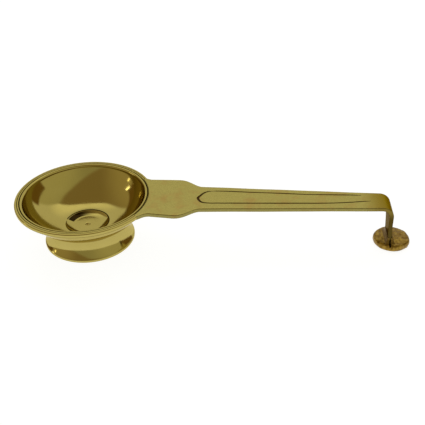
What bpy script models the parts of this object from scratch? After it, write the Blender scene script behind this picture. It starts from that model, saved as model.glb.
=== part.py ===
"""Hand-held brass diya: a turned oil cup on a foot ring, with a flat handle bent down to a rest foot.

Metres, +Z up. The lamp stands on z = 0, its length runs along X with the handle towards +X, and the
origin is under the middle of that length.
"""

import math

import bmesh
import bpy

# Driving dimensions. Places along the handle are measured from the cup's axis.
RIM_RADIUS = 0.0340
RIM_HEIGHT = 0.0248
RIM_EDGE = 0.0018
RIM_SEAT_RADIUS = 0.0319
MOUTH_RADIUS = 0.0300
WELL_RADIUS = 0.0110
WELL_FLOOR = 0.0080
CUP_FLOOR = 0.0092
BOWL_RADIUS = 0.0225
SHEET = 0.0014
WAIST_RADIUS = 0.0195
WAIST_HEIGHT = 0.0103
FOOT_RADIUS = 0.0227
FOOT_LIP = 0.0011
FOOT_WALL = 0.0020
HANDLE_THICKNESS = 0.0020
SHOULDER_HALF_WIDTH = 0.0163
SHOULDER_END = 0.0482
NECK_START = 0.0585
NECK_HALF_WIDTH = 0.0101
TIP_HALF_WIDTH = 0.0065
LEG_FACE = 0.1518
BEND_RADIUS = 0.0058
TENON_HALF_WIDTH = 0.0035
TENON_END = 0.0006
REST_RADIUS = 0.0088
REST_THICKNESS = 0.0034
REST_OFFSET = 0.0018
SOLDER_LEG = 0.0018
JOINT_GAP = 0.0003

# Places that follow from them.
LEG_CENTRE = LEG_FACE - HANDLE_THICKNESS / 2
REST_CENTRE = LEG_CENTRE + REST_OFFSET
OVERALL_LENGTH = RIM_RADIUS + REST_CENTRE + REST_RADIUS
CUP_X = RIM_RADIUS - OVERALL_LENGTH / 2
HANDLE_UNDERSIDE = RIM_HEIGHT - HANDLE_THICKNESS
SEAT_INNER_RADIUS = WAIST_RADIUS - FOOT_WALL
SEAT_INNER_HEIGHT = WAIST_HEIGHT - 0.44 * FOOT_WALL

# How round the turned pieces are.
CUP_STEPS = 56
RING_STEPS = 48
REST_STEPS = 32
WALL_POINTS = 6
ROOT_POINTS = 11
SHOULDER_POINTS = 7
BEND_POINTS = 7


def clear_scene():
    for old in list(bpy.data.objects):
        bpy.data.objects.remove(old, do_unlink=True)


def new_collection(name):
    group = bpy.data.collections.new(name)
    bpy.context.scene.collection.children.link(group)
    return group


def brass(name, colour, roughness):
    """A brass finish: a metallic surface with its own tint and polish."""
    finish = bpy.data.materials.new(name)
    finish.use_nodes = True
    surface = finish.node_tree.nodes["Principled BSDF"]
    surface.inputs["Base Color"].default_value = (*colour, 1.0)
    surface.inputs["Metallic"].default_value = 1.0
    surface.inputs["Roughness"].default_value = roughness
    return finish


def place(name, mesh, collection, location=(0.0, 0.0, 0.0)):
    piece = bpy.data.objects.new(name, mesh)
    piece.location = location
    collection.objects.link(piece)
    return piece


def boolean(piece, other, operation):
    cut = piece.modifiers.new(f"{operation.lower()} {other.name}", "BOOLEAN")
    cut.operation = operation
    cut.object = other
    cut.solver = "EXACT"
    other.display_type = "WIRE"
    other.hide_render = True


def weld(mesh):
    """Join the loose caps and sides of a shape, and turn its faces outwards."""
    work = bmesh.new()
    work.from_mesh(mesh)
    bmesh.ops.remove_doubles(work, verts=work.verts, dist=0.000005)
    bmesh.ops.recalc_face_normals(work, faces=work.faces)
    work.to_mesh(mesh)
    work.free()


def turned(name, outline, steps, collection):
    """Turn a profile of (radius, height) points about the cup's upright axis.

    A profile that leaves the axis starts on it. Any other is a closed section.
    """
    mesh = bpy.data.meshes.new(name)
    last = len(outline) - 1
    edges = [(i, i + 1) for i in range(last)]
    if outline[0][0] > 0.0:
        edges.append((last, 0))
    mesh.from_pydata([(radius, 0.0, height) for radius, height in outline], edges, [])
    piece = place(name, mesh, collection, (CUP_X, 0.0, 0.0))
    screw = piece.modifiers.new("turn", "SCREW")
    screw.steps = steps
    screw.render_steps = steps
    screw.use_merge_vertices = True
    screw.merge_threshold = 0.00001
    screw.use_smooth_shade = True
    return piece


def extruded(name, outline, depth, collection):
    """A closed flat outline in XY, filled and given a depth about z = 0."""
    curve = bpy.data.curves.new(name, "CURVE")
    curve.dimensions = "2D"
    curve.fill_mode = "BOTH"
    curve.extrude = depth / 2
    spline = curve.splines.new("POLY")
    spline.points.add(len(outline) - 1)
    for point, (x, y) in zip(spline.points, outline):
        point.co = (x, y, 0.0, 1.0)
    spline.use_cyclic_u = True
    sketch = place(f"{name} sketch", curve, collection)
    evaluated = sketch.evaluated_get(bpy.context.evaluated_depsgraph_get())
    mesh = bpy.data.meshes.new_from_object(evaluated)
    bpy.data.objects.remove(sketch, do_unlink=True)
    weld(mesh)
    return place(name, mesh, collection, (CUP_X, 0.0, 0.0))


def box(name, low, high, collection):
    """A box between two corners, measured from the cup's axis."""
    bpy.ops.mesh.primitive_cube_add(size=1.0)
    piece = bpy.context.object
    piece.name = name
    for group in list(piece.users_collection):
        group.objects.unlink(piece)
    collection.objects.link(piece)
    for vertex in piece.data.vertices:
        for axis in range(3):
            middle = (low[axis] + high[axis]) / 2
            vertex.co[axis] = middle + vertex.co[axis] * (high[axis] - low[axis])
    piece.location = (CUP_X, 0.0, 0.0)
    return piece


def arc(centre, radius, start, end, count):
    """Points along a circular arc between two angles in radians, both ends included."""
    angles = [start + (end - start) * i / (count - 1) for i in range(count)]
    return [(centre[0] + radius * math.cos(a), centre[1] + radius * math.sin(a)) for a in angles]


def bowed(start, end, bow, count, offset=0.0):
    """Points along an arc that bows to the right of the line from start to end.

    The offset moves the whole arc outwards from its centre.
    """
    run = (end[0] - start[0], end[1] - start[1])
    half = math.hypot(*run) / 2
    radius = (half * half + bow * bow) / (2 * bow)
    right = (run[1] / (2 * half), -run[0] / (2 * half))
    middle = ((start[0] + end[0]) / 2, (start[1] + end[1]) / 2)
    centre = (middle[0] - right[0] * (radius - bow), middle[1] - right[1] * (radius - bow))
    facing = math.atan2(right[1], right[0])
    spread = math.asin(half / radius)
    return arc(centre, radius + offset, facing - spread, facing + spread, count)


def sagitta(start, end, radius):
    """How far an arc of this radius bows from the line between two points."""
    half = math.dist(start, end) / 2
    return radius - math.sqrt(radius * radius - half * half)


def bowl_wall(offset=0.0, count=WALL_POINTS):
    """The cup's outer wall from the waist up to the rim, as (radius, height) points."""
    waist = (WAIST_RADIUS, WAIST_HEIGHT)
    under_rim = (MOUTH_RADIUS + 0.0008, RIM_HEIGHT - RIM_EDGE - 0.0006)
    bow = sagitta(waist, under_rim, BOWL_RADIUS + SHEET)
    return bowed(waist, under_rim, bow, count, offset)


def cup_inside():
    """The cup's inside from the well's centre up to the mouth."""
    well_foot = (WELL_RADIUS - 0.0024, WELL_FLOOR)
    well_brow = (WELL_RADIUS, CUP_FLOOR)
    mouth = (MOUTH_RADIUS, RIM_HEIGHT - 0.0010)
    wall = bowed(well_brow, mouth, sagitta(well_brow, mouth, BOWL_RADIUS), WALL_POINTS + 3)
    return [(0.0, WELL_FLOOR)] + bowed(well_foot, well_brow, 0.0003, 3)[:2] + wall


def make_cup(parts, cutters):
    """The turned cup, with its rim let away where the handle's root sits."""
    top = RIM_HEIGHT
    rim = [
        (MOUTH_RADIUS + 0.0005, top - 0.0004),
        (MOUTH_RADIUS + 0.0014, top),
        (RIM_RADIUS - 0.0003, top),
        (RIM_RADIUS, top - 0.0003),
        (RIM_RADIUS, top - RIM_EDGE + 0.0002),
        (RIM_RADIUS - 0.0002, top - RIM_EDGE),
    ]
    outside = list(reversed(bowl_wall()))
    underside = [
        (SEAT_INNER_RADIUS, SEAT_INNER_HEIGHT),
        ((SEAT_INNER_RADIUS + WELL_RADIUS) / 2, CUP_FLOOR - SHEET + 0.0005),
        (WELL_RADIUS + 0.0010, CUP_FLOOR - SHEET),
        (WELL_RADIUS, WELL_FLOOR - SHEET),
        (0.0, WELL_FLOOR - SHEET),
    ]
    cup = turned("oil_cup", cup_inside() + rim + outside + underside, CUP_STEPS, parts)

    half = SHOULDER_HALF_WIDTH + JOINT_GAP
    angle = math.asin(half / RIM_SEAT_RADIUS)
    seat = arc((0.0, 0.0), RIM_SEAT_RADIUS, -angle, angle, ROOT_POINTS)
    clear_of_rim = RIM_RADIUS + 0.004
    depth = 0.004
    notch = extruded("rim notch", seat + [(clear_of_rim, half), (clear_of_rim, -half)], depth, cutters)
    notch.location.z = HANDLE_UNDERSIDE - JOINT_GAP + depth / 2
    boolean(cup, notch, "DIFFERENCE")
    return cup


def make_foot_ring(parts):
    """The hollow ring that the cup stands on, flared like a trumpet down to a rounded lip."""
    drop = JOINT_GAP * 1.3
    waist = (WAIST_RADIUS - 0.0001, WAIST_HEIGHT - drop)
    seat = (SEAT_INNER_RADIUS, SEAT_INNER_HEIGHT - drop)
    lip = (FOOT_RADIUS - 0.0004, FOOT_LIP + 0.0005)
    flare = list(reversed(bowed(lip, waist, -0.00075, 8)))
    foot = [
        (FOOT_RADIUS, FOOT_LIP),
        (FOOT_RADIUS, 0.0004),
        (FOOT_RADIUS - 0.0004, 0.0),
    ]
    inside = [
        (FOOT_RADIUS - FOOT_WALL, 0.0),
        (FOOT_RADIUS - FOOT_WALL - 0.0004, 0.0006),
        (SEAT_INNER_RADIUS, WAIST_HEIGHT / 2),
    ]
    return turned("foot_ring", [seat] + flare + foot + inside, RING_STEPS, parts)


def make_ring_solder(parts):
    """The bead of solder that runs inside the foot ring, in the corner under the cup."""
    outer = SEAT_INNER_RADIUS - JOINT_GAP
    top = SEAT_INNER_HEIGHT - 1.5 * JOINT_GAP
    bead = [
        (outer, top),
        (outer, top - SOLDER_LEG),
        (outer - SOLDER_LEG, top - 0.4 * SOLDER_LEG),
    ]
    return turned("foot_ring_solder", bead, RING_STEPS, parts)


def handle_plan():
    """The handle seen from above: a wide root, curved shoulders and a long taper."""
    angle = math.asin(SHOULDER_HALF_WIDTH / (RIM_SEAT_RADIUS + JOINT_GAP))
    root = arc((0.0, 0.0), RIM_SEAT_RADIUS + JOINT_GAP, -angle, angle, ROOT_POINTS)
    side = []
    for i in range(SHOULDER_POINTS):
        t = i / (SHOULDER_POINTS - 1)
        fall = (1 - math.cos(math.pi * t)) / 2
        x = SHOULDER_END + (NECK_START - SHOULDER_END) * t
        side.append((x, SHOULDER_HALF_WIDTH + (NECK_HALF_WIDTH - SHOULDER_HALF_WIDTH) * fall))
    side.append((LEG_FACE + 0.001, TIP_HALF_WIDTH))
    mirrored = [(x, -y) for x, y in reversed(side)]
    return root + side + mirrored


def handle_side():
    """The handle seen from the side: a flat bar, a bend, and a leg that ends in its tenon."""
    centre = (LEG_FACE - BEND_RADIUS, RIM_HEIGHT - BEND_RADIUS)
    start = RIM_SEAT_RADIUS * 0.8
    right_angle = math.pi / 2
    inner = arc(centre, BEND_RADIUS - HANDLE_THICKNESS, right_angle, 0.0, BEND_POINTS)
    outer = arc(centre, BEND_RADIUS, 0.0, right_angle, BEND_POINTS)
    foot = [(LEG_FACE - HANDLE_THICKNESS, TENON_END), (LEG_FACE, TENON_END)]
    return [(start, HANDLE_UNDERSIDE)] + inner + foot + outer + [(start, RIM_HEIGHT)]


def make_handle(parts, cutters):
    """The handle, from its root against the rim to the tenon in the rest foot."""
    wide = 4 * SHOULDER_HALF_WIDTH
    handle = extruded("handle", handle_side(), wide, parts)
    handle.rotation_euler.x = math.radians(90)
    plan = extruded("handle plan", handle_plan(), 4 * RIM_HEIGHT, cutters)
    boolean(handle, plan, "INTERSECT")
    shoulder = REST_THICKNESS + JOINT_GAP
    for side, word in ((1, "left"), (-1, "right")):
        near = side * TENON_HALF_WIDTH
        far = side * wide
        low = (LEG_CENTRE - 0.004, min(near, far), -0.001)
        high = (LEG_CENTRE + 0.004, max(near, far), shoulder)
        boolean(handle, box(f"{word} tenon shoulder", low, high, cutters), "DIFFERENCE")
    return handle


def make_handle_solder(parts, cutters):
    """The fillet of solder under the handle's root, along the cup's wall."""
    top = HANDLE_UNDERSIDE - JOINT_GAP
    wall_top = top - 2.5 * JOINT_GAP
    wall = bowl_wall(JOINT_GAP, 16)
    inner = [point for point in wall if wall_top - 1.5 * SOLDER_LEG < point[1] < wall_top]
    corner = (RIM_SEAT_RADIUS + 2.5 * JOINT_GAP, top)
    section = [corner, (corner[0] + SOLDER_LEG, top)] + inner
    fillet = turned("handle_solder", section, CUP_STEPS, parts)
    half = SHOULDER_HALF_WIDTH - 2 * JOINT_GAP
    reach = RIM_RADIUS + 0.01
    boolean(fillet, box("root width", (0.0, -half, 0.0), (reach, half, reach), cutters), "INTERSECT")
    return fillet


def make_rest_foot(parts, cutters):
    """The low round foot under the handle's end, with a slot for the leg's tenon."""
    domed = [
        (0.0, REST_THICKNESS),
        (REST_RADIUS - 0.0014, REST_THICKNESS - 0.0002),
        (REST_RADIUS - 0.0003, REST_THICKNESS - 0.0009),
        (REST_RADIUS, REST_THICKNESS * 0.45),
        (REST_RADIUS - 0.0003, 0.0004),
        (REST_RADIUS - 0.0007, 0.0),
        (0.0, 0.0),
    ]
    foot = turned("rest_foot", domed, REST_STEPS, parts)
    foot.location.x = CUP_X + REST_CENTRE
    half_x = HANDLE_THICKNESS / 2 + JOINT_GAP
    half_y = TENON_HALF_WIDTH + JOINT_GAP
    low = (LEG_CENTRE - half_x, -half_y, -0.001)
    high = (LEG_CENTRE + half_x, half_y, REST_THICKNESS + 0.001)
    boolean(foot, box("tenon slot", low, high, cutters), "DIFFERENCE")
    return foot


def make_leg_solder(parts, cutters):
    """The collar of solder round the leg, where it meets the rest foot."""
    base = REST_THICKNESS + JOINT_GAP
    half_x = HANDLE_THICKNESS / 2 + JOINT_GAP
    half_y = TIP_HALF_WIDTH + JOINT_GAP
    spread = 0.0014
    height = 0.0026
    low = (LEG_CENTRE - half_x - spread, -half_y - spread, base)
    high = (LEG_CENTRE + half_x + spread, half_y + spread, base + height)
    collar = box("leg_solder", low, high, parts)
    for vertex in collar.data.vertices:
        if vertex.co.z > base + height / 2:
            vertex.co.x += math.copysign(spread * 0.6, LEG_CENTRE - vertex.co.x)
            vertex.co.y -= math.copysign(spread * 0.6, vertex.co.y)
    low = (LEG_CENTRE - half_x, -half_y, base - 0.001)
    high = (LEG_CENTRE + half_x, half_y, base + 0.004)
    boolean(collar, box("leg opening", low, high, cutters), "DIFFERENCE")
    return collar


def main():
    clear_scene()
    parts = new_collection("diya")
    cutters = new_collection("cutters")
    polished = brass("polished brass", (0.52, 0.43, 0.14), 0.12)
    satin = brass("satin brass", (0.50, 0.42, 0.16), 0.32)
    cast = brass("cast brass", (0.36, 0.27, 0.10), 0.45)
    filler = brass("brass solder", (0.46, 0.38, 0.15), 0.35)
    for piece, finish in (
        (make_cup(parts, cutters), polished),
        (make_foot_ring(parts), polished),
        (make_ring_solder(parts), filler),
        (make_handle(parts, cutters), satin),
        (make_handle_solder(parts, cutters), filler),
        (make_rest_foot(parts, cutters), cast),
        (make_leg_solder(parts, cutters), filler),
    ):
        piece.data.materials.append(finish)


main()
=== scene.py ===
"""A brass diya: a hand-held oil lamp for prayer, made piece by piece as the brazed original is."""
import math

import bmesh
import bpy
from bpy.props import FloatProperty, FloatVectorProperty, IntProperty, PointerProperty
from mathutils import Matrix, Vector, noise


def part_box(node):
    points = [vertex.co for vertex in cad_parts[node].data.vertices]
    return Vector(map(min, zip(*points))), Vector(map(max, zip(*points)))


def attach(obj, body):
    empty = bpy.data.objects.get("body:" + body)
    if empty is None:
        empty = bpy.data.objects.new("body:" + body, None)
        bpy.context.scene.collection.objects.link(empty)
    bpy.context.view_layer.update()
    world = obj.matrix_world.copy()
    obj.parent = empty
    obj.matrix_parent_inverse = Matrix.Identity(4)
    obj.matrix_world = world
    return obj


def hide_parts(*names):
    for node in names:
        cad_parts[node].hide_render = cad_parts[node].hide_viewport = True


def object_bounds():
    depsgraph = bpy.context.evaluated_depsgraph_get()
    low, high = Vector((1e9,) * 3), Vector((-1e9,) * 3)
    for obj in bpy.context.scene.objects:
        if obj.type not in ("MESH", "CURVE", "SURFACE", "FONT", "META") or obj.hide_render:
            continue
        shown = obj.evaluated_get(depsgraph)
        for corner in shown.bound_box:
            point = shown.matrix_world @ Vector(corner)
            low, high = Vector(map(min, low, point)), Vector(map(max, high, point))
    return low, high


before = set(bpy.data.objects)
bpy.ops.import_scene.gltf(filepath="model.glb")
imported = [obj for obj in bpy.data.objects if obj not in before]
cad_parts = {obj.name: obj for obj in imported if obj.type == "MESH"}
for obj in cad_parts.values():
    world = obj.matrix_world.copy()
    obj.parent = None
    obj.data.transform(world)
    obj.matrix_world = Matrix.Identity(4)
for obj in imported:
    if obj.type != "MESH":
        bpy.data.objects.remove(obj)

bl_info = {
    "name": "Brass Diya",
    "version": (1, 0),
    "blender": (4, 5, 0),
    "location": "View3D > Sidebar > Diya",
    "description": "Makes a hand-held brass oil lamp, its finishes and a plain studio",
    "category": "Add Mesh",
}

MM = 0.001
FRAME_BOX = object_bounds()
WAVE_SPACING = 0.314  # how far apart a wave texture's rings lie at a scale of 1

# The main places, read from the frame.
cup_low, cup_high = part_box("oil_cup")
ring_low, ring_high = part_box("foot_ring")
handle_low, handle_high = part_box("handle")
rest_low, rest_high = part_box("rest_foot")
leg_solder_low, leg_solder_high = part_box("leg_solder")
ring_solder_low, ring_solder_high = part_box("foot_ring_solder")

RIM_RADIUS = (cup_high.y - cup_low.y) / 2
AXIS_X = cup_low.x + RIM_RADIUS
RIM_TOP = cup_high.z
FOOT_RADIUS = (ring_high.y - ring_low.y) / 2
FOOT_TOP = ring_high.z
ROOT_HALF_WIDTH = handle_high.y
LEG_FACE = handle_high.x - AXIS_X
TENON_END = handle_low.z
REST_RADIUS = (rest_high.y - rest_low.y) / 2
REST_CENTRE = (rest_low.x + rest_high.x) / 2 - AXIS_X
REST_TOP = rest_high.z

# This lamp's rest foot was soldered on further out and to the far side, and cast a little larger.
REST_FOOT_OUT = 0.55 * MM
REST_FOOT_ASIDE = 0.7 * MM
REST_FOOT_WIDER = 0.2 * MM
REST_FOOT_TALLER = 0.45 * MM


# Colour and node helpers.

def linear(hex_colour):
    """An sRGB hex colour as linear RGBA."""
    channels = [int(hex_colour[i:i + 2], 16) / 255 for i in (1, 3, 5)]
    return tuple(c / 12.92 if c <= 0.04045 else ((c + 0.055) / 1.055) ** 2.4 for c in channels) + (1.0,)


def per_mm(size):
    """The texture scale whose features are about this many millimetres across."""
    return 1000.0 / size


def add_node(tree, kind, inputs=None, **settings):
    """A shader node with its sockets set to values or linked from other nodes, and its settings."""
    node = tree.nodes.new("ShaderNode" + kind)
    for name, value in settings.items():
        setattr(node, name, value)
    for name, value in (inputs or {}).items():
        if isinstance(value, bpy.types.Node):
            value = value.outputs[0]
        if isinstance(value, bpy.types.NodeSocket):
            tree.links.new(value, node.inputs[name])
        else:
            node.inputs[name].default_value = value
    return node


def new_surface(name):
    """A material with an empty node tree, and coordinates for its patterns, centred on the cup's axis."""
    material = bpy.data.materials.new(name)
    material.use_nodes = True
    tree = material.node_tree
    tree.nodes.clear()
    place = add_node(tree, "TexCoord")
    centred = add_node(tree, "Mapping", {"Vector": place.outputs["Object"], "Location": (-AXIS_X, 0, 0)})
    return material, tree, centred


def finished(material, inputs):
    """The material, ended in a metal shader with these inputs."""
    shader = add_node(material.node_tree, "BsdfPrincipled", {"Metallic": 1.0, **inputs})
    add_node(material.node_tree, "OutputMaterial", {"Surface": shader})
    return material


def where_all(tree, ranges):
    """Where all of some ranges hold: each is what is measured, where it starts and where it is whole."""
    mask = None
    for measured, start, whole in ranges:
        before = mask
        mask = add_node(
            tree, "MapRange",
            {"Value": measured, "From Min": start, "From Max": whole},
            interpolation_type="SMOOTHSTEP",
        )
        if before:
            mask = add_node(tree, "Math", {0: before, 1: mask}, operation="MULTIPLY")
    return mask


# Finishes.

def soot_and_painted_shade(tree, centred, cup):
    """Where the cup is darkened: tarnish in the rim's two lines, painted shade along the rim's lower edge,
    and a painted dark reflection along the back of the well's edge and on the well's far wall.

    Each dark patch is a set of bands that all hold at once: what is measured, its middle, half its width
    and how softly it ends. The turn is in radians clockwise from the side away from the handle.
    """
    along = add_node(tree, "SeparateXYZ", {"Vector": centred})
    flat = add_node(tree, "VectorMath", {0: centred, 1: (1.0, 1.0, 0.0)}, operation="MULTIPLY")
    radius = add_node(tree, "VectorMath", {0: flat}, operation="LENGTH").outputs["Value"]
    height = along.outputs["Z"]
    leftwards = add_node(tree, "Math", {0: along.outputs["X"], 1: -1.0}, operation="MULTIPLY")
    turn = add_node(tree, "Math", {0: along.outputs["Y"], 1: leftwards}, operation="ARCTAN2")
    crisp = 0.02 * MM
    rim_face = (height, RIM_TOP, 1.0 * MM, crisp)
    rim_edge = (height, RIM_TOP - cup.rim_edge + 0.1 * MM, 0.2 * MM, crisp)
    in_well = (height, cup.floor_height - 1.1 * MM, 1.3 * MM, crisp)
    stains_and_painted_shade = (
        # Tarnish in the rim's groove and in its fine line.
        ((radius, cup.groove_radius, 0.24 * MM, crisp), rim_face),
        ((radius, cup.line_radius, 0.15 * MM, crisp), rim_face),
        # Painted shade: a dark band round the rim's lower edge, standing for the shaded table that it
        # would reflect.
        ((radius, RIM_RADIUS, 0.7 * MM, crisp), rim_edge),
        # Painted dark reflection: a thin dark line along the back of the well's edge, and a dark wedge on
        # the well's far wall.
        ((radius, cup.well_radius - 0.05 * MM, 0.2 * MM, crisp), (turn, 1.65, 1.5, 0.05), in_well),
        ((radius, cup.well_radius - 1.95 * MM, 1.45 * MM, 0.1 * MM), (turn, 0.18, 1.2, 0.5),
         (turn, 1.68, 1.5, 0.03), in_well),
    )
    stained_and_shaded = None
    for dark_patch in stains_and_painted_shade:
        ranges = []
        for measured, middle, half, softness in dark_patch:
            offset = add_node(tree, "Math", {0: measured, 1: middle}, operation="SUBTRACT")
            away = add_node(tree, "Math", {0: offset}, operation="ABSOLUTE")
            ranges.append((away, half + softness, half - softness))
        before = stained_and_shaded
        stained_and_shaded = where_all(tree, ranges)
        if before:
            stained_and_shaded = add_node(tree, "Math", {0: before, 1: stained_and_shaded}, operation="MAXIMUM")
    return stained_and_shaded


def polished_brass(colours, cup):
    """Cast brass turned on a lathe and buffed: near-mirror, with faint rings and soft dull clouds."""
    material, tree, centred = new_surface("turned and buffed brass")
    clouds = add_node(tree, "TexNoise", {"Vector": centred, "Scale": per_mm(9.0), "Detail": 4.0})
    tint = add_node(
        tree, "MixRGB", {"Fac": clouds, "Color1": colours.polished, "Color2": colours.polished_shade}
    )
    # The tarnish colour lies in the rim's lines as tarnish, and at the rim's lower edge and in the well as
    # painted shade and painted dark reflection.
    tarnished_and_shaded = add_node(
        tree, "MixRGB", {"Fac": soot_and_painted_shade(tree, centred, cup), "Color1": tint, "Color2": colours.tarnish_and_shade}
    )
    dullness = add_node(
        tree, "MapRange",
        {"Value": clouds, "From Min": 0.35, "From Max": 0.75, "To Min": 0.07, "To Max": 0.16},
    )
    # A lathe's rings lie about 0.2 mm apart, too fine to show, so they are drawn coarser.
    rings = add_node(
        tree, "TexWave",
        {"Vector": centred, "Scale": per_mm(0.55) * WAVE_SPACING, "Distortion": 0.6, "Detail": 1.0},
        wave_type="RINGS", rings_direction="Z",
    )
    ripple = add_node(tree, "TexNoise", {"Vector": centred, "Scale": per_mm(11.0), "Detail": 1.0})
    buffed = add_node(tree, "Bump", {"Height": ripple, "Distance": 0.05 * MM})
    turned = add_node(
        tree, "Bump", {"Height": rings, "Strength": 0.35, "Distance": 0.004 * MM, "Normal": buffed}
    )
    return finished(material, {"Base Color": tarnished_and_shaded, "Roughness": dullness, "Normal": turned,
                               "Specular Tint": colours.edge_tint})


def satin_brass(colours):
    """Sand-cast brass bar, filed and rubbed with emery: a satin face with fine pits and reddish clouds.

    Its sides, rounded edges and upright leg are painted darker than its level faces, as painted shade, and
    the torch has browned the bend and burnt the leg.
    """
    material, tree, centred = new_surface("filed satin brass")
    clouds = add_node(
        tree, "TexNoise", {"Vector": centred, "Scale": per_mm(7.0), "Detail": 4.0, "Roughness": 0.6}
    )
    blush = add_node(tree, "MapRange", {"Value": clouds, "From Min": 0.52, "From Max": 0.72})
    tint = add_node(tree, "MixRGB", {"Fac": blush, "Color1": colours.satin, "Color2": colours.satin_blush})
    grain = add_node(
        tree, "TexNoise", {"Vector": centred, "Scale": per_mm(0.9), "Detail": 5.0, "Roughness": 0.65}
    )
    speckle = add_node(
        tree, "MapRange",
        {"Value": grain, "From Min": 0.3, "From Max": 0.7, "To Min": 0.88, "To Max": 1.06},
    )
    speckled = add_node(tree, "VectorMath", {0: tint, "Scale": speckle}, operation="SCALE")
    # File marks are about 0.2 mm apart, too fine to show, so they are drawn coarser.
    drawn = add_node(tree, "Mapping", {"Vector": centred, "Scale": (0.08, 1.0, 1.0)})
    filing = add_node(tree, "TexNoise", {"Vector": drawn, "Scale": per_mm(0.5), "Detail": 3.0})
    pits = add_node(tree, "Bump", {"Height": grain, "Strength": 0.6, "Distance": 0.035 * MM})
    filed = add_node(
        tree, "Bump", {"Height": filing, "Strength": 0.4, "Distance": 0.012 * MM, "Normal": pits}
    )
    dullness = add_node(
        tree, "MapRange",
        {"Value": clouds, "From Min": 0.3, "From Max": 0.7, "To Min": 0.24, "To Max": 0.34},
    )
    along = add_node(tree, "SeparateXYZ", {"Vector": centred})
    past_grip = (along.outputs["X"], LEG_FACE - 17.0 * MM, LEG_FACE - 5.0 * MM)
    down_leg = (along.outputs["Z"], RIM_TOP - 2.0 * MM, RIM_TOP - 7.0 * MM)
    near_leg = where_all(tree, (past_grip,))
    scorch = where_all(tree, (past_grip, down_leg))
    browned = add_node(tree, "MixRGB", {"Fac": near_leg, "Color1": speckled, "Color2": colours.browned})
    burnt = add_node(tree, "MixRGB", {"Fac": scorch, "Color1": browned, "Color2": colours.burnt})
    # Painted shade: the colour is darkened wherever the surface faces sideways, on the bar's sides, its
    # rounded edges and the upright leg.
    shape = add_node(tree, "NewGeometry")
    facing = add_node(tree, "SeparateXYZ", {"Vector": shape.outputs["Normal"]})
    level = add_node(tree, "Math", {0: facing.outputs["Z"]}, operation="ABSOLUTE")
    side = add_node(
        tree, "MapRange",
        {"Value": level, "From Min": 0.75, "From Max": 0.95, "To Min": 0.62, "To Max": 0.96},
    )
    side_shaded = add_node(tree, "VectorMath", {0: burnt, "Scale": side}, operation="SCALE")
    glance = add_node(
        tree, "MixRGB", {"Fac": near_leg, "Color1": colours.edge_tint, "Color2": colours.leg_edge_tint}
    )
    return finished(material, {"Base Color": side_shaded, "Roughness": dullness, "Normal": filed,
                               "Specular Tint": glance})


def cast_brass(colours):
    """Brass left as it came from the sand mould: lumpy, dark in its hollows, worn brighter on lumps."""
    material, tree, centred = new_surface("sand-cast brass")
    lumps = add_node(
        tree, "TexNoise", {"Vector": centred, "Scale": per_mm(1.6), "Detail": 5.0, "Roughness": 0.6}
    )
    worn = add_node(tree, "MapRange", {"Value": lumps, "From Min": 0.35, "From Max": 0.68})
    tint = add_node(tree, "MixRGB", {"Fac": worn, "Color1": colours.cast_hollow, "Color2": colours.cast})
    # Moulding sand is about 0.2 mm, too fine to show, so its grain is drawn coarser.
    sand = add_node(tree, "TexNoise", {"Vector": centred, "Scale": per_mm(0.5), "Detail": 3.0})
    coarse = add_node(tree, "Bump", {"Height": lumps, "Strength": 0.9, "Distance": 0.25 * MM})
    fine = add_node(
        tree, "Bump", {"Height": sand, "Strength": 0.5, "Distance": 0.06 * MM, "Normal": coarse}
    )
    return finished(material, {"Base Color": tint, "Roughness": 0.36, "Normal": fine})


def brazing_metal(colours):
    """Brass brazing filler: duller than the bar, with a slumped, pimpled skin."""
    material, tree, centred = new_surface("brazing filler")
    skin = add_node(tree, "TexNoise", {"Vector": centred, "Scale": per_mm(1.1), "Detail": 3.0})
    tint = add_node(tree, "MixRGB", {"Fac": skin, "Color1": colours.solder, "Color2": colours.cast_hollow})
    pimples = add_node(tree, "Bump", {"Height": skin, "Strength": 0.7, "Distance": 0.12 * MM})
    return finished(material, {"Base Color": tint, "Roughness": 0.4, "Normal": pimples})


def tarnish_and_gap_shade(colours):
    """The floor of a chased line, where polish and soot stay: dark brown and dull. It is also painted
    shade in the rest foot's slot end and the solder's crack.
    """
    material, tree, centred = new_surface("tarnished chased brass with painted gap shade")
    grime = add_node(tree, "TexNoise", {"Vector": centred, "Scale": per_mm(2.5), "Detail": 2.0})
    tint = add_node(
        tree, "MixRGB", {"Fac": grime, "Color1": colours.tarnish_and_shade, "Color2": colours.cast_hollow}
    )
    return finished(material, {"Base Color": tint, "Roughness": 0.5})


# Shape helpers. Profiles are lists of (radius, height) measured from the cup's axis.

def arc(centre, radius, start, end, count):
    """Points along a circular arc between two angles in radians, both ends included."""
    angles = [start + (end - start) * i / (count - 1) for i in range(count)]
    return [(centre[0] + radius * math.cos(a), centre[1] + radius * math.sin(a)) for a in angles]


def bowed(start, end, bow, count):
    """Points along an arc that bows to the right of the line from start to end."""
    run = (end[0] - start[0], end[1] - start[1])
    half = math.hypot(*run) / 2
    radius = (half * half + bow * bow) / (2 * bow)
    right = (run[1] / (2 * half), -run[0] / (2 * half))
    middle = ((start[0] + end[0]) / 2, (start[1] + end[1]) / 2)
    centre = (middle[0] - right[0] * (radius - bow), middle[1] - right[1] * (radius - bow))
    facing = math.atan2(right[1], right[0])
    spread = math.asin(half / radius)
    return arc(centre, radius, facing - spread, facing + spread, count)


def curved(start, end, radius, count):
    """Points along an arc of a given radius that bows to the right of the line from start to end."""
    half = math.dist(start, end) / 2
    return bowed(start, end, radius - math.sqrt(radius * radius - half * half), count)


def groove(radius, width, depth, top, count):
    """A round-bottomed groove in a level face, as profile points from its inner edge outwards."""
    across = [i / (count - 1) for i in range(count)]
    return [(radius - width / 2 + width * t, top - depth * math.sin(math.pi * t)) for t in across]


def new_piece(name, work, material):
    """A finished mesh object from a bmesh, shaded smooth but for its sharp edges."""
    mesh = bpy.data.meshes.new(name)
    work.to_mesh(mesh)
    work.free()
    piece = bpy.data.objects.new(name, mesh)
    bpy.context.scene.collection.objects.link(piece)
    mesh.materials.append(material)
    mesh.shade_smooth()
    return piece


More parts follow.
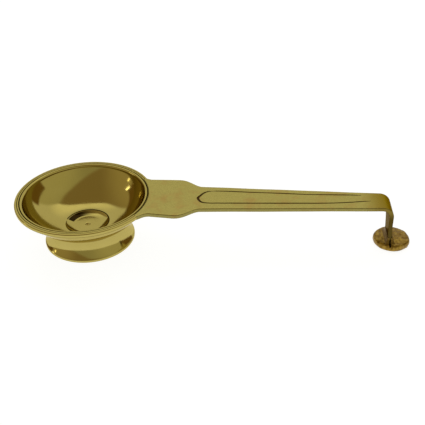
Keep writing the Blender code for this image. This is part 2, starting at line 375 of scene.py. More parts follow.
def spun(profile, steps, centre_x=AXIS_X):
    """Spin a profile about an upright axis: an open line that starts and ends on the axis, or a loop."""
    work = bmesh.new()
    line = [work.verts.new((centre_x + radius, 0.0, height)) for radius, height in profile]
    for first, second in zip(line, line[1:]):
        work.edges.new((first, second))
    if profile[0][0] > 0.0:
        work.edges.new((line[-1], line[0]))
    bmesh.ops.spin(
        work, geom=work.verts[:] + work.edges[:], cent=(centre_x, 0.0, 0.0), axis=(0.0, 0.0, 1.0),
        angle=math.tau, steps=steps, use_merge=True,
    )
    bmesh.ops.remove_doubles(work, verts=work.verts, dist=0.002 * MM)
    bmesh.ops.recalc_face_normals(work, faces=work.faces)
    return work


def freeze(piece):
    """Apply a piece's modifiers to its mesh."""
    bpy.context.view_layer.update()
    graph = bpy.context.evaluated_depsgraph_get()
    mesh = bpy.data.meshes.new_from_object(piece.evaluated_get(graph))
    piece.modifiers.clear()
    old = piece.data
    piece.data = mesh
    bpy.data.meshes.remove(old)


def cut(piece, name, work, material=None, operation="DIFFERENCE"):
    """Cut a piece with another shape, or keep what lies inside it. The cut has its own finish if given."""
    cutter = new_piece(name, work, material or piece.data.materials[0])
    change = piece.modifiers.new(name, "BOOLEAN")
    change.operation = operation
    change.object = cutter
    change.solver = "EXACT"
    change.material_mode = "TRANSFER"
    freeze(piece)
    bpy.data.objects.remove(cutter, do_unlink=True)


def sharp_edges(piece, degrees):
    """Keep the edges sharper than this angle crisp in the shading."""
    piece.data.set_sharp_from_angle(angle=math.radians(degrees))


def block(low, high):
    """A box between two corners."""
    low, high = Vector(low), Vector(high)
    work = bmesh.new()
    bmesh.ops.create_cube(work, size=1.0)
    bmesh.ops.scale(work, vec=high - low, verts=work.verts)
    bmesh.ops.translate(work, vec=(low + high) / 2, verts=work.verts)
    return work


def prism(outline, bottom, top):
    """A flat outline, measured from the cup's axis, given a height."""
    work = bmesh.new()
    loop = [work.verts.new((AXIS_X + x, y, bottom)) for x, y in outline]
    face = work.faces.new(loop)
    grown = bmesh.ops.extrude_face_region(work, geom=[face])
    raised = [item for item in grown["geom"] if isinstance(item, bmesh.types.BMVert)]
    bmesh.ops.translate(work, vec=(0.0, 0.0, top - bottom), verts=raised)
    bmesh.ops.recalc_face_normals(work, faces=work.faces)
    return work


def roughen(work, size_mm, depth_mm, seed):
    """Push a shape's points in and out, as a casting's skin wanders."""
    work.normal_update()
    for vertex in work.verts:
        spot = vertex.co * per_mm(size_mm) + Vector((seed, 0.0, 0.0))
        vertex.co += vertex.normal * noise.noise(spot) * depth_mm * MM


def lay_down(piece, node):
    """Tie a finished piece to the lamp, in place of its plain solid."""
    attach(piece, "root")
    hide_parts(node)


# Sizes and colours that can be changed.

def length(name, description, millimetres):
    """A size in the sidebar."""
    return FloatProperty(name=name, description=description, default=millimetres * MM, unit="LENGTH")


def angle(name, description, degrees):
    """An angle in the sidebar."""
    radians = math.radians(degrees)
    return FloatProperty(name=name, description=description, default=radians, subtype="ANGLE")


def colour(name, description, hex_colour):
    """A colour in the sidebar."""
    return FloatVectorProperty(
        name=name, description=description, default=linear(hex_colour), subtype="COLOR", size=4
    )


class DiyaCup(bpy.types.PropertyGroup):
    """Sizes of the oil cup"""
    mouth: length("Mouth radius", "Radius inside the rolled lip", 30.0)
    groove_radius: length("Groove radius", "Radius of the dark groove in the rim", 31.55)
    line_radius: length("Line radius", "Radius of the fine outer line in the rim", 32.6)
    rim_edge: length("Rim edge", "Thickness of the rim at its outer edge", 1.8)
    bowl_radius: length("Bowl radius", "Radius of the curve of the bowl's wall", 22.5)
    floor_height: length("Floor height", "Height of the floor at the well", 9.2)
    well_radius: length("Well radius", "Radius of the sunk well", 11.0)
    well_floor: length("Well floor", "Height of the well's floor", 7.8)
    well_wall: length("Well wall", "How far the well's wall comes in from its edge", 4.2)
    well_bow: length("Well bow", "How far the well's wall bows from a straight slope", 0.25)
    waist_radius: length("Waist radius", "Outer radius where the cup meets its foot", 19.5)
    waist_height: length("Waist height", "Height where the cup meets its foot", 10.3)
    sheet: length("Wall thickness", "Thickness of the cup's wall and floor", 1.3)
    steps: IntProperty(name="Steps", description="Facets round the cup", default=176, min=24)


class DiyaFoot(bpy.types.PropertyGroup):
    """Sizes of the foot ring"""
    flare: length("Flare", "Radius of the curve from the waist out to the lip", 13.3)
    lip: length("Lip", "Height of the upright lip round the bottom", 1.1)
    wall: length("Wall", "Thickness of the ring", 2.0)
    off_centre: length("Off centre", "How far off the cup's axis the ring was soldered", 0.6)
    steps: IntProperty(name="Steps", description="Facets round the ring", default=144, min=24)


class DiyaHandle(bpy.types.PropertyGroup):
    """Sizes of the handle"""
    thickness: length("Thickness", "Thickness of the bar", 2.0)
    seat_radius: length("Root radius", "Radius of the hollow root that meets the rim", 32.0)
    shoulder_end: length("Shoulder end", "Where the wide root starts to narrow", 45.5)
    neck_start: length("Neck", "Where the long taper starts", 58.5)
    neck_half_width: length("Neck half width", "Half the width where the taper starts", 10.1)
    tip_half_width: length("Tip half width", "Half the width at the bend", 6.5)
    bend_radius: length("Bend radius", "Outer radius of the bend", 5.8)
    leg_half_width: length("Leg half width", "Half the width of the leg", 5.0)
    leg_lean: length("Leg lean", "How far the leg's top leans in", 0.4)
    leg_kick: length("Leg kick", "How far the leg's foot kicks out", 0.6)
    tenon_half_width: length("Tenon half width", "Half the width of the leg's tenon", 3.5)
    line_width: length("Chased line width", "Width of the chased outline", 0.9)
    line_depth: length("Chased line depth", "Depth of the chased outline", 0.28)


class DiyaFinish(bpy.types.PropertyGroup):
    """Colours of the brass"""
    polished: colour("Polished", "Buffed brass of the cup and foot ring", "#B5A660")
    polished_shade: colour("Polished, dull", "Buffed brass where it has dulled", "#AE9E55")
    satin: colour("Satin", "Filed brass of the handle", "#B3A75F")
    satin_blush: colour("Satin, reddish", "Coppery clouds in the handle", "#B39A58")
    cast: colour("Cast", "Lumps of the cast rest foot", "#A98B3E")
    cast_hollow: colour("Cast, hollows", "Hollows of the cast rest foot", "#6A4E1C")
    solder: colour("Brazing", "Filler in the joints", "#7E6632")
    edge_tint: colour("Edge tint", "Tint of reflections at a glancing angle", "#EFE8D0")
    leg_edge_tint: colour("Leg edge tint", "The same on the browned leg", "#B5A57C")
    browned: colour("Browned", "Bend, browned by the torch", "#9A853E")
    burnt: colour("Burnt", "Leg, browned more by the torch", "#6A5828")
    # This dark colour is tarnish in grooves and chased lines, and also painted shade at the rim's lower
    # edge, in the well, in the rest foot's slot and in the solder's crack.
    tarnish_and_shade: colour("Tarnish", "Dark tarnish in grooves and chased lines", "#2A1E0A")


class DiyaStudio(bpy.types.PropertyGroup):
    """The camera and the light"""
    azimuth: angle("Azimuth", "Camera's turn round the lamp", 4.07)
    elevation: angle("Elevation", "Camera's height above level", 33.74)
    roll: angle("Roll", "Camera's tilt about its own line of sight", 1.19)
    distance: length("Distance", "Camera's distance from what it looks at", 349.2)
    aim_height: length("Aim height", "Height of the point that the camera looks at", 16.0)
    focal_length: FloatProperty(name="Focal length", description="Lens length in mm", default=59.5)
    floor_colour: colour("Floor", "Plain pale table", "#88909E")
    table_light: FloatProperty(name="Table light", description="How brightly the table glows", default=0.9)
    screen: colour("Screen", "White screen behind the table", "#E8E6DA")
    wall: colour("Wall", "Pale wall on the right", "#C8C4AA")
    room_light: colour("Room, light", "Lighter side of the room", "#BBAC88")
    room_dark: colour("Room, dark", "Darker part of the room", "#9C8A69")
    furniture: colour("Furniture", "Low dark things at both sides", "#7D6230")
    sky: FloatProperty(name="Sky", description="Strength of the soft light all round", default=1.0)


# The pieces.

def cup_profile(cup):
    """The cup's section: well, bowl, rolled lip and grooved rim, then the outside and the underside."""
    top = RIM_TOP
    pip = ((0.0, 0.42), (0.3, 0.36), (0.6, 0.05), (0.8, -0.1), (1.05, -0.14), (1.35, 0.0), (1.6, 0.0))
    mark = [(radius * MM, cup.well_floor + rise * MM) for radius, rise in pip]
    mark.append((cup.well_radius - cup.well_wall - 0.4 * MM, cup.well_floor))
    foot_of_well = (cup.well_radius - cup.well_wall, cup.well_floor)
    edge_of_well = (cup.well_radius - 0.25 * MM, cup.floor_height - 0.2 * MM)
    well = mark + bowed(foot_of_well, edge_of_well, cup.well_bow, count=14)
    brow = [
        (cup.well_radius - 0.1 * MM, cup.floor_height - 0.02 * MM),
        (cup.well_radius + 0.2 * MM, cup.floor_height + 0.08 * MM),
    ]
    bowl = curved((cup.well_radius + 0.7 * MM, cup.floor_height + 0.06 * MM), (cup.mouth, top - 1.05 * MM),
                  cup.bowl_radius, count=40)
    lip_round, edge_round, under_round = 1.0 * MM, 0.5 * MM, 0.35 * MM
    lip = arc((cup.mouth + lip_round, top - lip_round), lip_round, math.radians(172), math.radians(90), 8)
    main_groove = groove(cup.groove_radius, width=0.62 * MM, depth=0.45 * MM, top=top - 0.02 * MM, count=9)
    bead_start, bead_end = cup.groove_radius + 0.35 * MM, cup.line_radius - 0.2 * MM
    bead = [
        (bead_start + (bead_end - bead_start) * t, top - 0.06 * MM * abs(2 * t - 1))
        for t in (i / 6 for i in range(1, 6))
    ]
    fine_line = groove(cup.line_radius, width=0.34 * MM, depth=0.2 * MM, top=top - 0.06 * MM, count=7)
    outer = [(cup.line_radius + 0.35 * MM, top - 0.04 * MM), (RIM_RADIUS - 0.8 * MM, top - 0.04 * MM)]
    edge_centre = (RIM_RADIUS - edge_round, top - edge_round - 0.05 * MM)
    edge = arc(edge_centre, edge_round, math.radians(85), 0.0, 7)
    under_centre = (RIM_RADIUS - under_round, top - cup.rim_edge + under_round)
    under = arc(under_centre, under_round, 0.0, math.radians(-85), 5)
    waist = (cup.waist_radius, cup.waist_height)
    root = (cup.mouth + cup.sheet - 0.4 * MM, top - cup.rim_edge - 0.6 * MM)
    corner = (root[0] + 0.5 * MM, top - cup.rim_edge - 0.08 * MM)
    outside = curved(waist, root, cup.bowl_radius + cup.sheet, count=24)
    floor_under = cup.floor_height - cup.sheet
    underside = [
        (cup.waist_radius - 2.0 * MM, cup.waist_height - 0.88 * MM),
        (cup.well_radius + 3.5 * MM, floor_under + 0.6 * MM),
        (cup.well_radius + 1.0 * MM, floor_under),
        (cup.well_radius + 0.3 * MM, floor_under - 0.3 * MM),
        (cup.well_radius, cup.well_floor - cup.sheet + 0.4 * MM),
        (cup.well_radius - 0.4 * MM, cup.well_floor - cup.sheet),
        (0.0, cup.well_floor - cup.sheet),
    ]
    inside = well + brow + bowl + lip
    rim = main_groove + bead + fine_line + outer + edge + under
    return inside + rim + [corner] + outside[::-1] + underside


class DIYA_OT_oil_cup(bpy.types.Operator):
    """Spin the oil cup and let its rim away for the handle's root"""
    bl_idname = "diya.oil_cup"
    bl_label = "Oil Cup"

    def execute(self, context):
        cup, handle = context.scene.diya_cup, context.scene.diya_handle
        work = spun(cup_profile(cup), cup.steps)
        piece = new_piece("oil_cup_turned", work, polished_brass(context.scene.diya_finish, cup))
        seam = handle.seat_radius - 0.08 * MM
        half = ROOT_HALF_WIDTH + 0.1 * MM
        half_turn = math.asin(half / seam)
        seat = arc((0.0, 0.0), seam, -half_turn, half_turn, 41)
        clear = RIM_RADIUS + 4.0 * MM
        outline = seat + [(clear, half), (clear, -half)]
        floor = RIM_TOP - handle.thickness - 0.1 * MM
        cut(piece, "rim notch", prism(outline, floor, RIM_TOP + 2.0 * MM))
        sharp_edges(piece, degrees=48)
        lay_down(piece, "oil_cup")
        return {"FINISHED"}


class DIYA_OT_foot_ring(bpy.types.Operator):
    """Spin the flared foot ring"""
    bl_idname = "diya.foot_ring"
    bl_label = "Foot Ring"

    def execute(self, context):
        cup, foot = context.scene.diya_cup, context.scene.diya_foot
        waist = (cup.waist_radius - 0.1 * MM, FOOT_TOP)
        lip_top = (FOOT_RADIUS - 0.4 * MM, foot.lip + 0.5 * MM)
        flare = curved(waist, lip_top, foot.flare, count=24)
        edge_round, toe_round = 0.8 * MM, 0.35 * MM
        edge = arc((FOOT_RADIUS - edge_round, foot.lip - 0.2 * MM), edge_round, math.radians(55), 0.0, 8)
        toe = arc((FOOT_RADIUS - toe_round, toe_round), toe_round, 0.0, math.radians(-88), 5)
        inner_radius = cup.waist_radius - foot.wall
        inside = [
            (FOOT_RADIUS - foot.wall, 0.0),
            (FOOT_RADIUS - foot.wall - 0.4 * MM, 0.6 * MM),
            (inner_radius, cup.waist_height / 2),
            (inner_radius, FOOT_TOP - 0.88 * MM),
        ]
        work = spun(flare + edge + toe + inside, foot.steps)
        bmesh.ops.translate(work, vec=(foot.off_centre, 0.0, 0.0), verts=work.verts)
        piece = new_piece("foot_ring_turned", work, polished_brass(context.scene.diya_finish, cup))
        sharp_edges(piece, degrees=48)
        lay_down(piece, "foot_ring")
        return {"FINISHED"}


class DIYA_OT_foot_ring_solder(bpy.types.Operator):
    """Run the bead of solder round the inside of the foot ring"""
    bl_idname = "diya.foot_ring_solder"
    bl_label = "Foot Ring Solder"

    def execute(self, context):
        outer = (ring_solder_high.y - ring_solder_low.y) / 2
        low, high = ring_solder_low.z, ring_solder_high.z
        face = bowed((outer, low), (outer - (high - low), high - 0.35 * (high - low)), -0.35 * MM, count=7)
        work = spun([(outer, high)] + face, steps=120)
        roughen(work, size_mm=4.0, depth_mm=0.12, seed=3.0)
        piece = new_piece("foot_ring_brazing", work, brazing_metal(context.scene.diya_finish))
        sharp_edges(piece, degrees=60)
        lay_down(piece, "foot_ring_solder")
        return {"FINISHED"}


def half_width_at(handle, x):
    """Half the bar's width at a distance from the cup's axis."""
    if x <= handle.shoulder_end:
        return ROOT_HALF_WIDTH
    if x < handle.neck_start:
        t = (x - handle.shoulder_end) / (handle.neck_start - handle.shoulder_end)
        fall = (1 - math.cos(math.pi * t ** 1.25)) / 2
        return ROOT_HALF_WIDTH + (handle.neck_half_width - ROOT_HALF_WIDTH) * fall
    t = (x - handle.neck_start) / (LEG_FACE - handle.neck_start)
    return handle.neck_half_width + (handle.tip_half_width - handle.neck_half_width) * min(t, 1.0)


def root_swell(handle, x, far_side):
    """How the root's sides leave the rim in a small hollow, the near side then slowly widening."""
    seat, corner = 27.7 * MM, 28.8 * MM
    height, reach = (1.4 * MM, 3.2 * MM) if far_side else (2.0 * MM, 4.2 * MM)
    if x < corner:
        extra = height * max(0.0, (x - seat) / (corner - seat))
    else:
        extra = height * max(0.0, 1.0 - (x - corner) / reach) ** 2
    if not far_side:
        waist, waist_start, waist_end = 1.3 * MM, 5.0 * MM, 12.0 * MM
        leaving = min(1.0, max(0.0, (x - corner) / waist_start))
        widening = min(1.0, max(0.0, (handle.shoulder_end - x) / waist_end))
        extra -= waist * leaving * widening
    return 1.0 + extra / ROOT_HALF_WIDTH


def bar_stations(handle):
    """The bar's stations: distance along, height, half width, and how far each follows the rim."""
    stations = [(handle.seat_radius, RIM_TOP, ROOT_HALF_WIDTH, 1.0)]
    near_rim = ((0.7, 0.9), (1.5, 0.75), (2.3, 0.62), (3.1, 0.5), (4.0, 0.38), (5.0, 0.27), (6.5, 0.15),
                (9.0, 0.05), (12.0, 0.0))
    for ahead, follow in near_rim:
        x = handle.seat_radius + ahead * MM
        stations.append((x, RIM_TOP, half_width_at(handle, x), follow))
    shoulders = 16
    for i in range(shoulders + 1):
        x = handle.shoulder_end + (handle.neck_start - handle.shoulder_end) * i / shoulders
        stations.append((x, RIM_TOP, half_width_at(handle, x), 0.0))
    flat_end = LEG_FACE - handle.bend_radius - handle.leg_lean
    flats = 34
    for i in range(1, flats + 1):
        x = handle.neck_start + (flat_end - handle.neck_start) * i / flats
        stations.append((x, RIM_TOP, half_width_at(handle, x), 0.0))
    leg_top, leg_foot = RIM_TOP - handle.bend_radius, leg_solder_low.z
    for x, z in arc((flat_end, leg_top), handle.bend_radius, math.pi / 2, 0.0, 13)[1:]:
        stations.append((x, z, half_width_at(handle, x), 0.0))
    legs = 10
    for i in range(1, legs + 1):
        z = leg_top + (leg_foot - leg_top) * i / legs
        narrowing = min(1.0, 2.5 * i / legs)
        half = handle.tip_half_width + (handle.leg_half_width - handle.tip_half_width) * narrowing
        out = handle.leg_kick * i / legs - handle.leg_lean * (1 - i / legs)
        stations.append((LEG_FACE + out, z, half, 0.0))
    return stations


def place_row(row, station, handle):
    """Spread a row of points across the bar at a station, which may follow the rim's circle."""
    x, z, half, follow = station
    deepest = handle.seat_radius - math.sqrt(handle.seat_radius ** 2 - half ** 2)
    near_swell, far_swell = (root_swell(handle, x - deepest * follow, side) for side in (False, True))
    for i, vertex in enumerate(row):
        y = half * (2 * i / (len(row) - 1) - 1)
        hollow = handle.seat_radius - math.sqrt(handle.seat_radius ** 2 - y ** 2)
        vertex.co = (AXIS_X + x - hollow * follow, y * (far_swell if y > 0.0 else near_swell), z)


def extrude_row(work, row):
    """Extrude a row of points, and give the new row in the same order."""
    edges = [work.edges.get((first, second)) for first, second in zip(row, row[1:])]
    grown = bmesh.ops.extrude_edge_only(work, edges=edges)
    return sorted((item for item in grown["geom"] if isinstance(item, bmesh.types.BMVert)),
                  key=lambda vertex: vertex.co.y)


def bar_sheet(handle):
    """The bar's outer face as an open sheet: root, shoulders, taper, bend, leg and tenon."""
    work = bmesh.new()
    columns = 26
    row = [work.verts.new((0.0, 0.0, 0.0))]
    for _ in range(columns):
        row.append(bmesh.ops.extrude_vert_indiv(work, verts=[row[-1]])["verts"][0])
    stations = bar_stations(handle)
    place_row(row, stations[0], handle)
    for station in stations[1:]:
        row = extrude_row(work, row)
        place_row(row, station, handle)
    reach = handle.tenon_half_width + 0.01 * MM
    tenon = [vertex for vertex in row if abs(vertex.co.y) <= reach]
    for height in (leg_solder_low.z - 0.5 * MM, TENON_END):
        tenon = extrude_row(work, tenon)
        for vertex in tenon:
            vertex.co.z = height
    bmesh.ops.recalc_face_normals(work, faces=work.faces)
    work.normal_update()
    if sum(face.normal.z for face in work.faces) < 0:
        bmesh.ops.reverse_faces(work, faces=work.faces)
    return work


# The chased outline, given point by point: distance from the cup's axis, offset from the middle, and depth
# of cut.
CHASED_OUTLINE = (
    (136.5, 4.4, 0.25), (132.0, 4.5, 0.7), (126.0, 4.45, 1.0), (117.5, 4.4, 0.8), (110.0, 4.4, 0.6),
    (104.0, 4.65, 1.0), (97.0, 5.0, 0.9), (88.0, 5.3, 0.7), (81.0, 5.55, 1.0), (74.0, 5.9, 0.9),
    (67.0, 6.1, 0.7), (63.0, 5.9, 0.35), (60.8, 5.2, 1.0), (59.3, 4.0, 1.4), (57.9, 1.8, 1.7),
    (56.8, -0.4, 2.3), (57.3, -2.4, 1.9), (58.8, -4.2, 1.4), (61.5, -4.9, 0.8), (67.0, -4.85, 0.8),
    (76.0, -4.6, 1.1), (86.0, -4.3, 1.0), (96.0, -4.0, 1.2), (107.0, -3.65, 1.1), (117.0, -3.3, 1.0),
    (125.0, -2.75, 0.8), (131.0, -2.0, 0.9), (136.0, -1.2, 0.7), (140.5, -0.6, 0.2),
)


def chasing_tool(handle):
    """A tube along the chased outline, sunk in the bar's face by each point's depth."""
    half, depth = handle.line_width / 2, handle.line_depth
    radius = (half * half + depth * depth) / (2 * depth)
    curve = bpy.data.curves.new("chased outline", "CURVE")
    curve.dimensions = "3D"
    curve.bevel_depth = radius
    curve.bevel_resolution = 2
    curve.use_fill_caps = True
    curve.resolution_u = 5
    spline = curve.splines.new("BEZIER")
    spline.bezier_points.add(len(CHASED_OUTLINE) - 1)
    for point, (x, y, sink) in zip(spline.bezier_points, CHASED_OUTLINE):
        point.radius = 0.75 + 0.3 * sink
        point.co = (AXIS_X + x * MM, y * MM, RIM_TOP + radius * point.radius - depth * sink)
        point.handle_left_type = point.handle_right_type = "AUTO"
    sketch = bpy.data.objects.new("chased outline", curve)
    bpy.context.scene.collection.objects.link(sketch)
    bpy.context.view_layer.update()
    graph = bpy.context.evaluated_depsgraph_get()
    work = bmesh.new()
    work.from_mesh(bpy.data.meshes.new_from_object(sketch.evaluated_get(graph)))
    bpy.data.objects.remove(sketch, do_unlink=True)
    bmesh.ops.remove_doubles(work, verts=work.verts, dist=0.001 * MM)
    bmesh.ops.recalc_face_normals(work, faces=work.faces)
    return work


class DIYA_OT_handle(bpy.types.Operator):
    """Draw out the handle from its root to its tenon, round its edges and chase its outline"""
    bl_idname = "diya.handle"
    bl_label = "Handle"

    def execute(self, context):
        handle, finish = context.scene.diya_handle, context.scene.diya_finish
        work = bar_sheet(handle)
        # The bar's edges wander a little, as filing by hand leaves them.
        for vertex in work.verts:
            spot = Vector((vertex.co.x * per_mm(16.0), vertex.co.y * per_mm(30.0), 0.0))
            if vertex.co.x > AXIS_X + RIM_RADIUS + 2.0 * MM:
                vertex.co.y += noise.noise(spot) * 0.14 * MM
        piece = new_piece("handle_bar", work, satin_brass(finish))
        thicken = piece.modifiers.new("thickness", "SOLIDIFY")
        thicken.thickness = handle.thickness
        thicken.use_even_offset = True
        soften = piece.modifiers.new("filed edges", "BEVEL")
        soften.width = 0.38 * MM
        soften.segments = 3
        soften.limit_method = "ANGLE"
        soften.angle_limit = math.radians(50)
        freeze(piece)
        cut(piece, "chased outline", chasing_tool(handle), tarnish_and_gap_shade(finish))
        piece.data.shade_smooth()
        sharp_edges(piece, degrees=38)
        lay_down(piece, "handle")
        return {"FINISHED"}


class DIYA_OT_handle_solder(bpy.types.Operator):
    """Lay the solder under the handle's root and in its two corners"""
    bl_idname = "diya.handle_solder"
    bl_label = "Handle Solder"

    def execute(self, context):
        handle, finish = context.scene.diya_handle, context.scene.diya_finish
        top = RIM_TOP - handle.thickness - 0.12 * MM
        # The solder lies against the cup's wall, under the rim.
        against_wall = [(31.9 * MM, top), (31.3 * MM, top - 0.6 * MM), (30.7 * MM, top - 1.4 * MM),
                        (29.9 * MM, top - 2.8 * MM)]
        face = bowed(against_wall[-1], (34.6 * MM, top), -0.6 * MM, count=9)[1:]
        work = spun(against_wall + face, steps=176)
        roughen(work, size_mm=3.0, depth_mm=0.1, seed=11.0)
        piece = new_piece("handle_brazing", work, brazing_metal(finish))
        half = ROOT_HALF_WIDTH - 0.5 * MM
        root = block((AXIS_X, -half, 0.0), (AXIS_X + 60.0 * MM, half, 60.0 * MM))
        cut(piece, "root width", root, operation="INTERSECT")
        sharp_edges(piece, degrees=50)
        lay_down(piece, "handle_solder")
        return {"FINISHED"}


class DIYA_OT_rest_foot(bpy.types.Operator):
    """Cast the round rest foot and cut its slot"""
    bl_idname = "diya.rest_foot"
    bl_label = "Rest Foot"

    def execute(self, context):
        handle, finish = context.scene.diya_handle, context.scene.diya_finish
        centre_x = AXIS_X + REST_CENTRE + REST_FOOT_OUT
        crown = bowed((REST_RADIUS - 1.3 * MM, REST_TOP - 0.35 * MM), (0.0, REST_TOP), 0.12 * MM, 12)[::-1]
        brow = arc((REST_RADIUS - 1.25 * MM, REST_TOP - 1.5 * MM), 1.15 * MM, math.radians(85), 0.0, 8)
        skirt = [(REST_RADIUS, REST_TOP * 0.4), (REST_RADIUS - 0.1 * MM, 0.9 * MM)]
        toe = arc((REST_RADIUS - 0.75 * MM, 0.55 * MM), 0.55 * MM, 0.0, math.radians(-88), 5)
        inner = [(REST_RADIUS * (1 - i / 6), 0.0) for i in range(1, 7)]
        crown[0] = (0.0, REST_TOP)
        work = spun(crown + brow + skirt + toe + inner, steps=96, centre_x=centre_x)
        for vertex in work.verts:
            if vertex.co.z > 0.3 * MM:
                spot = vertex.co * per_mm(3.2)
                away = Vector((vertex.co.x - centre_x, vertex.co.y, 0.0)).normalized()
                vertex.co += away * (noise.noise(spot) * 0.28 * MM + REST_FOOT_WIDER)
                vertex.co.z += noise.noise(spot * 1.7 + Vector((7.0, 0.0, 0.0))) * 0.14 * MM
                vertex.co.z += REST_FOOT_TALLER * min(1.0, vertex.co.z / REST_TOP)
        bmesh.ops.translate(work, vec=(0.0, REST_FOOT_ASIDE, 0.0), verts=work.verts)
        piece = new_piece("rest_foot_cast", work, cast_brass(finish))
        half_x = handle.thickness / 2 + 0.1 * MM
        half_y = handle.tenon_half_width + 0.1 * MM
        leg_x = AXIS_X + LEG_FACE + handle.leg_kick - handle.thickness / 2
        slot = block((leg_x - half_x, -half_y, -1.0 * MM), (leg_x + half_x, half_y, REST_TOP + 1.0 * MM))
        cut(piece, "tenon slot", slot)
        # The open end of the slot is lined with the dark chased-line finish: painted shade in that narrow
        # groove, a dark line from the leg to the front edge.
        open_end = block(
            (leg_x - 0.5 * MM, -REST_RADIUS - 1.0 * MM, REST_TOP - 1.0 * MM),
            (leg_x + 0.4 * MM, -half_y, REST_TOP + 1.0 * MM),
        )
        cut(piece, "open end of slot", open_end, tarnish_and_gap_shade(finish))
        sharp_edges(piece, degrees=50)
        lay_down(piece, "rest_foot")
        return {"FINISHED"}


class DIYA_OT_leg_solder(bpy.types.Operator):
    """Build the solder collar round the leg"""
    bl_idname = "diya.leg_solder"
    bl_label = "Leg Solder"

    def execute(self, context):
        handle = context.scene.diya_handle
        bottom, top = REST_TOP - 0.15 * MM, leg_solder_high.z
        leg_x = AXIS_X + LEG_FACE + handle.leg_kick - handle.thickness / 2
        half_x = handle.thickness / 2 + 0.02 * MM
        half_y = handle.leg_half_width + 0.02 * MM
        spread = (leg_solder_high.x - leg_solder_low.x) / 2 - half_x
        wide_x, wide_y = half_x + spread, half_y + spread
        work = block((leg_x - wide_x, -wide_y, bottom), (leg_x + wide_x, wide_y, top))
        bmesh.ops.subdivide_edges(work, edges=work.edges, cuts=9, use_grid_fill=True)
        for vertex in work.verts:
            climb = (vertex.co.z - bottom) / (top - bottom)
            keep = 0.12 + 0.88 * (1 - climb) ** 2
            beyond_x = max(0.0, abs(vertex.co.x - leg_x) - half_x)
            beyond_y = max(0.0, abs(vertex.co.y) - half_y)
            vertex.co.x -= math.copysign(beyond_x * (1 - keep), vertex.co.x - leg_x)
            vertex.co.y -= math.copysign(beyond_y * (1 - keep), vertex.co.y)
        roughen(work, size_mm=2.0, depth_mm=0.1, seed=5.0)
        piece = new_piece("leg_brazing", work, brazing_metal(context.scene.diya_finish))
        below, above = bottom - 1.0 * MM, top + 1.0 * MM
        opening = block((leg_x - half_x, -half_y, below), (leg_x + half_x, half_y, above))
        cut(piece, "leg opening", opening)
        # The crack in front is lined with the dark chased-line finish: painted shade in that narrow gap, a
        # dark line down the front of the collar.
        crack = block((leg_x - 0.45 * MM, -wide_y - 1.0 * MM, below), (leg_x + 0.35 * MM, 0.0, above))
        cut(piece, "crack in front", crack, tarnish_and_gap_shade(context.scene.diya_finish))
        sharp_edges(piece, degrees=50)
        lay_down(piece, "leg_solder")
        return {"FINISHED"}


# The studio.

def studio_world(studio):
    """Soft light all round, as in a small room with a white screen behind the table.

    Seen from the lamp, the screen fills the back up to a straight top edge, a pale wall stands on
    the right, and the rest of the room is dimmer and warmer, darkest low down at both sides.
    """
    world = bpy.data.worlds.new("studio")
    bpy.context.scene.world = world
    world.use_nodes = True
    tree = world.node_tree
    tree.nodes.clear()
    place = add_node(tree, "TexCoord")
    towards = add_node(tree, "SeparateXYZ", {"Vector": place.outputs["Generated"]})
    x, y, z = (towards.outputs[axis] for axis in "XYZ")
    aside = add_node(tree, "Math", {0: x}, operation="ABSOLUTE")
    # The wall's slanting edge, the screen's top edge and the screen's two sides, as sloping measures.
    slant, rise, spread = (
        add_node(tree, "Math", {0: run, 1: slope, 2: offset}, operation="MULTIPLY_ADD")
        for run, slope, offset in ((z, -1.17, x), (y, -2.36, z), (y, -1.15, aside))
    )
    # The wall brightens to the right, and the screen towards its top edge.
    levels = (
        add_node(
            tree, "MapRange",
            {"Value": measured, "From Min": start, "From Max": end, "To Min": dim, "To Max": bright},
            interpolation_type="SMOOTHSTEP",
        )
        for measured, start, end, dim, bright in ((x, 0.0, 0.8, 0.78, 1.05), (z, 0.62, 0.86, 1.0, 1.45))
    )
    wall, screen = (
        add_node(tree, "VectorMath", {0: paint[:3], "Scale": level}, operation="SCALE")
        for paint, level in zip((studio.wall, studio.screen), levels)
    )
    # Each thing lies over those before it, where all its ranges hold.
    layers = (
        (studio.room_dark, ((x, -0.95, -0.3),)),
        (wall, ((slant, -0.72, -0.5), (z, 0.93, 0.86))),
        (screen, ((rise, 0.03, -0.03), (spread, 0.08, -0.08))),
        (studio.furniture, ((z, 0.42, 0.34), (spread, -0.2, -0.05), (y, 0.05, 0.12))),
    )
    surroundings = studio.room_light
    for paint, ranges in layers:
        mask = where_all(tree, ranges)
        surroundings = add_node(tree, "MixRGB", {"Fac": mask, "Color1": surroundings, "Color2": paint})
    glow = add_node(tree, "Background", {"Color": surroundings, "Strength": studio.sky})
    white = add_node(tree, "Background", {"Color": linear("#FFFFFF")})
    seen = add_node(tree, "LightPath")
    both = add_node(tree, "MixShader", {0: seen.outputs["Is Camera Ray"], 1: glow, 2: white})
    add_node(tree, "OutputWorld", {"Surface": both})


def floor_finish(studio):
    """White acrylic sheet lit from below, as on a product table: it stays pale even under the bowl."""
    material = bpy.data.materials.new("white acrylic light table")
    material.use_nodes = True
    shader = material.node_tree.nodes["Principled BSDF"]
    shader.inputs["Base Color"].default_value = studio.floor_colour
    shader.inputs["Roughness"].default_value = 0.6
    shader.inputs["Specular IOR Level"].default_value = 0.1
    shader.inputs["Emission Color"].default_value = (1.0, 1.0, 1.0, 1.0)
    shader.inputs["Emission Strength"].default_value = studio.table_light
    return material


def window(name, place, aim, width, height, energy, tint):
    """A soft light from a small upright window that faces a point."""
    light = bpy.data.lights.new(name, "AREA")
    light.shape = "RECTANGLE"
    light.size = width
    light.size_y = height
    light.energy = energy
    light.color = tint
    source = bpy.data.objects.new(name, light)
    bpy.context.scene.collection.objects.link(source)
    source.location = place
    source.rotation_euler = (Vector(aim) - Vector(place)).to_track_quat("-Z", "Y").to_euler()


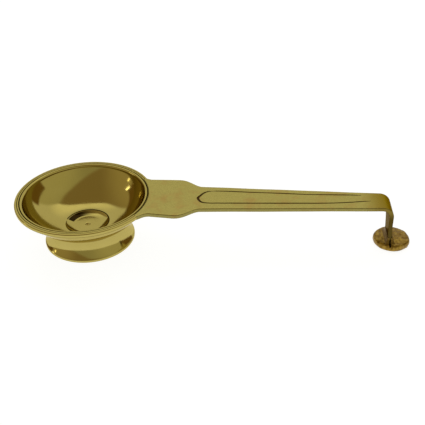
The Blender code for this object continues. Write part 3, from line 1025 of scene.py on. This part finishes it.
class DIYA_OT_stage(bpy.types.Operator):
    """Set up the floor, the light and the camera"""
    bl_idname = "diya.stage"
    bl_label = "Stage"

    def execute(self, context):
        studio = context.scene.diya_studio
        context.scene.view_settings.view_transform = "Standard"
        studio_world(studio)
        work = bmesh.new()
        bmesh.ops.create_grid(work, x_segments=8, y_segments=8, size=1.6)
        bmesh.ops.translate(work, vec=(0.0, 0.0, -0.02 * MM), verts=work.verts)
        new_piece("floor", work, floor_finish(studio))
        bowl = (AXIS_X, 0.0, 0.02)
        window("left window", place=(-1.0, 0.07, 0.38), aim=bowl, width=0.06, height=0.17,
               energy=0.14, tint=(1.0, 0.97, 0.9))
        window("left window, lower pane", place=(-1.0, -0.08, 0.17), aim=bowl, width=0.05, height=0.12,
               energy=0.06, tint=(1.0, 0.93, 0.7))

        around, above, roll = studio.azimuth, studio.elevation, studio.roll
        level = Vector((math.cos(around), math.sin(around), 0.0))
        outwards = Vector((math.sin(around), -math.cos(around), 0.0))
        back = outwards * math.cos(above) + Vector((0.0, 0.0, math.sin(above)))
        upright = back.cross(level)
        right = level * math.cos(roll) - upright * math.sin(roll)
        up = level * math.sin(roll) + upright * math.cos(roll)
        aim = Vector(((FRAME_BOX[0][0] + FRAME_BOX[1][0]) / 2, 0.0, studio.aim_height))
        data = bpy.data.cameras.new("camera")
        data.lens = studio.focal_length
        data.clip_start = 0.01
        camera = bpy.data.objects.new("camera", data)
        context.scene.collection.objects.link(camera)
        turn = Matrix((right, up, back)).transposed().to_4x4()
        camera.matrix_world = Matrix.Translation(aim + back * studio.distance) @ turn
        context.scene.camera = camera
        return {"FINISHED"}


class DIYA_PT_panel(bpy.types.Panel):
    """Lists the lamp's pieces and the stage"""
    bl_idname = "DIYA_PT_panel"
    bl_label = "Diya"
    bl_space_type = "VIEW_3D"
    bl_region_type = "UI"
    bl_category = "Diya"

    def draw(self, context):
        for group in PROPERTY_GROUPS:
            settings = getattr(context.scene, group)
            column = self.layout.column(align=True)
            for name in settings.__annotations__:
                column.prop(settings, name)
        for operator in OPERATORS:
            self.layout.operator(operator.bl_idname)


PROPERTY_GROUPS = {
    "diya_cup": DiyaCup,
    "diya_foot": DiyaFoot,
    "diya_handle": DiyaHandle,
    "diya_finish": DiyaFinish,
    "diya_studio": DiyaStudio,
}
OPERATORS = (
    DIYA_OT_stage,
    DIYA_OT_oil_cup,
    DIYA_OT_foot_ring,
    DIYA_OT_foot_ring_solder,
    DIYA_OT_handle,
    DIYA_OT_handle_solder,
    DIYA_OT_rest_foot,
    DIYA_OT_leg_solder,
)


def register():
    for name, group in PROPERTY_GROUPS.items():
        bpy.utils.register_class(group)
        setattr(bpy.types.Scene, name, PointerProperty(type=group))
    for operator in OPERATORS:
        bpy.utils.register_class(operator)
    bpy.utils.register_class(DIYA_PT_panel)


def unregister():
    bpy.utils.unregister_class(DIYA_PT_panel)
    for operator in reversed(OPERATORS):
        bpy.utils.unregister_class(operator)
    for name, group in PROPERTY_GROUPS.items():
        delattr(bpy.types.Scene, name)
        bpy.utils.unregister_class(group)


def main():
    register()
    bpy.ops.diya.stage()
    bpy.ops.diya.oil_cup()
    bpy.ops.diya.foot_ring()
    bpy.ops.diya.foot_ring_solder()
    bpy.ops.diya.handle()
    bpy.ops.diya.handle_solder()
    bpy.ops.diya.rest_foot()
    bpy.ops.diya.leg_solder()


if __name__ == "__main__":
    main()
